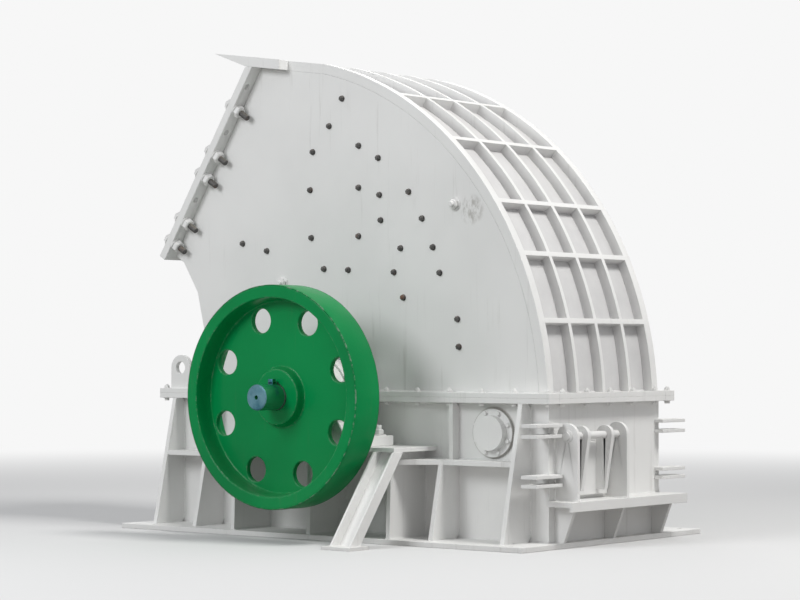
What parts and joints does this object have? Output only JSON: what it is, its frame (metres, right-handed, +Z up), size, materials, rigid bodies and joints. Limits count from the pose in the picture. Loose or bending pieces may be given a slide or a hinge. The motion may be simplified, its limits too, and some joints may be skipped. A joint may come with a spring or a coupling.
{
  "type": "hammer crusher",
  "caption": "Heavy hammer crusher with a slanted feed mouth, curved ribbed housing, hammer rotor, flywheel, grooved drive pulley and a hinged rear door.",
  "frame": {"origin": "on the floor, centre of the anchor bolt pattern, under the rotor shaft", "axes": "+X from the feed mouth to the curved rear, +Y along the shaft to the drive pulley, +Z up"},
  "size_m": [3.185, 2.8278, 2.955],
  "materials": {
    "white_paint": "white gloss enamel, dusty",
    "green_paint": "green gloss enamel",
    "shaft_steel": "turned, lightly oiled",
    "wear_steel": "cast manganese steel, scale",
    "rotor_steel": "machined cast steel, dusty",
    "bearing_paint": "white enamel"
  },
  "bodies": {
    "housing": {"base_side_rails": "white_paint", "base_end_rails": "white_paint", "lower_side_wall_flywheel_side": "white_paint", "lower_side_wall_drive_side": "white_paint", "feed_end_wall": "white_paint", "rear_wall": "white_paint", "side_gussets": "white_paint", "lower_flange_sides": "white_paint", "lower_flange_ends": "white_paint", "upper_flange_sides": "white_paint", "upper_flange_ends": "white_paint", "upper_side_plate_flywheel_side": "white_paint", "upper_side_plate_drive_side": "white_paint", "feed_wall": "white_paint", "inlet_flange": "white_paint", "roof_plate": "white_paint", "curved_shell": "white_paint", "shell_ribs": "white_paint", "inlet_nose": "white_paint", "eye_plates": "white_paint", "corner_lugs": "white_paint", "round_covers": "white_paint", "bearing_pedestals": "white_paint", "pedestal_struts": "white_paint", "rear_shelf": "white_paint", "door_cheeks": "white_paint", "door_hinge_pin": "white_paint", "bearing_bases": "bearing_paint", "bearing_caps": "bearing_paint", "bearing_inserts": "shaft_steel", "shaft_seals": "white_paint", "side_liners_flywheel_side": "wear_steel", "side_liners_drive_side": "wear_steel", "impact_liner": "wear_steel", "feed_liner": "wear_steel", "feed_apron": "wear_steel", "tramp_iron_chute": "wear_steel", "discharge_grate": "wear_steel", "grate_side_arcs": "wear_steel"},
    "rotor": {"rotor_shaft": "shaft_steel", "rotor_discs": "rotor_steel", "hammer_pins": "rotor_steel", "hammers": "wear_steel", "flywheel": "green_paint", "drive_pulley": "green_paint"},
    "door": {"rear_door": "white_paint"}
  },
  "joints": [
    {"name": "rotor_spin", "type": "hinge", "parent": "housing", "child": "rotor", "pos_m": [0, 0, 0.84], "axis": [0, 1, 0], "continuous": true},
    {"name": "door_swing", "type": "hinge", "parent": "housing", "child": "door", "pos_m": [1.575, -0.25, 0.63], "axis": [0, -1, 0], "range_deg": [0, 85]}
  ]
}
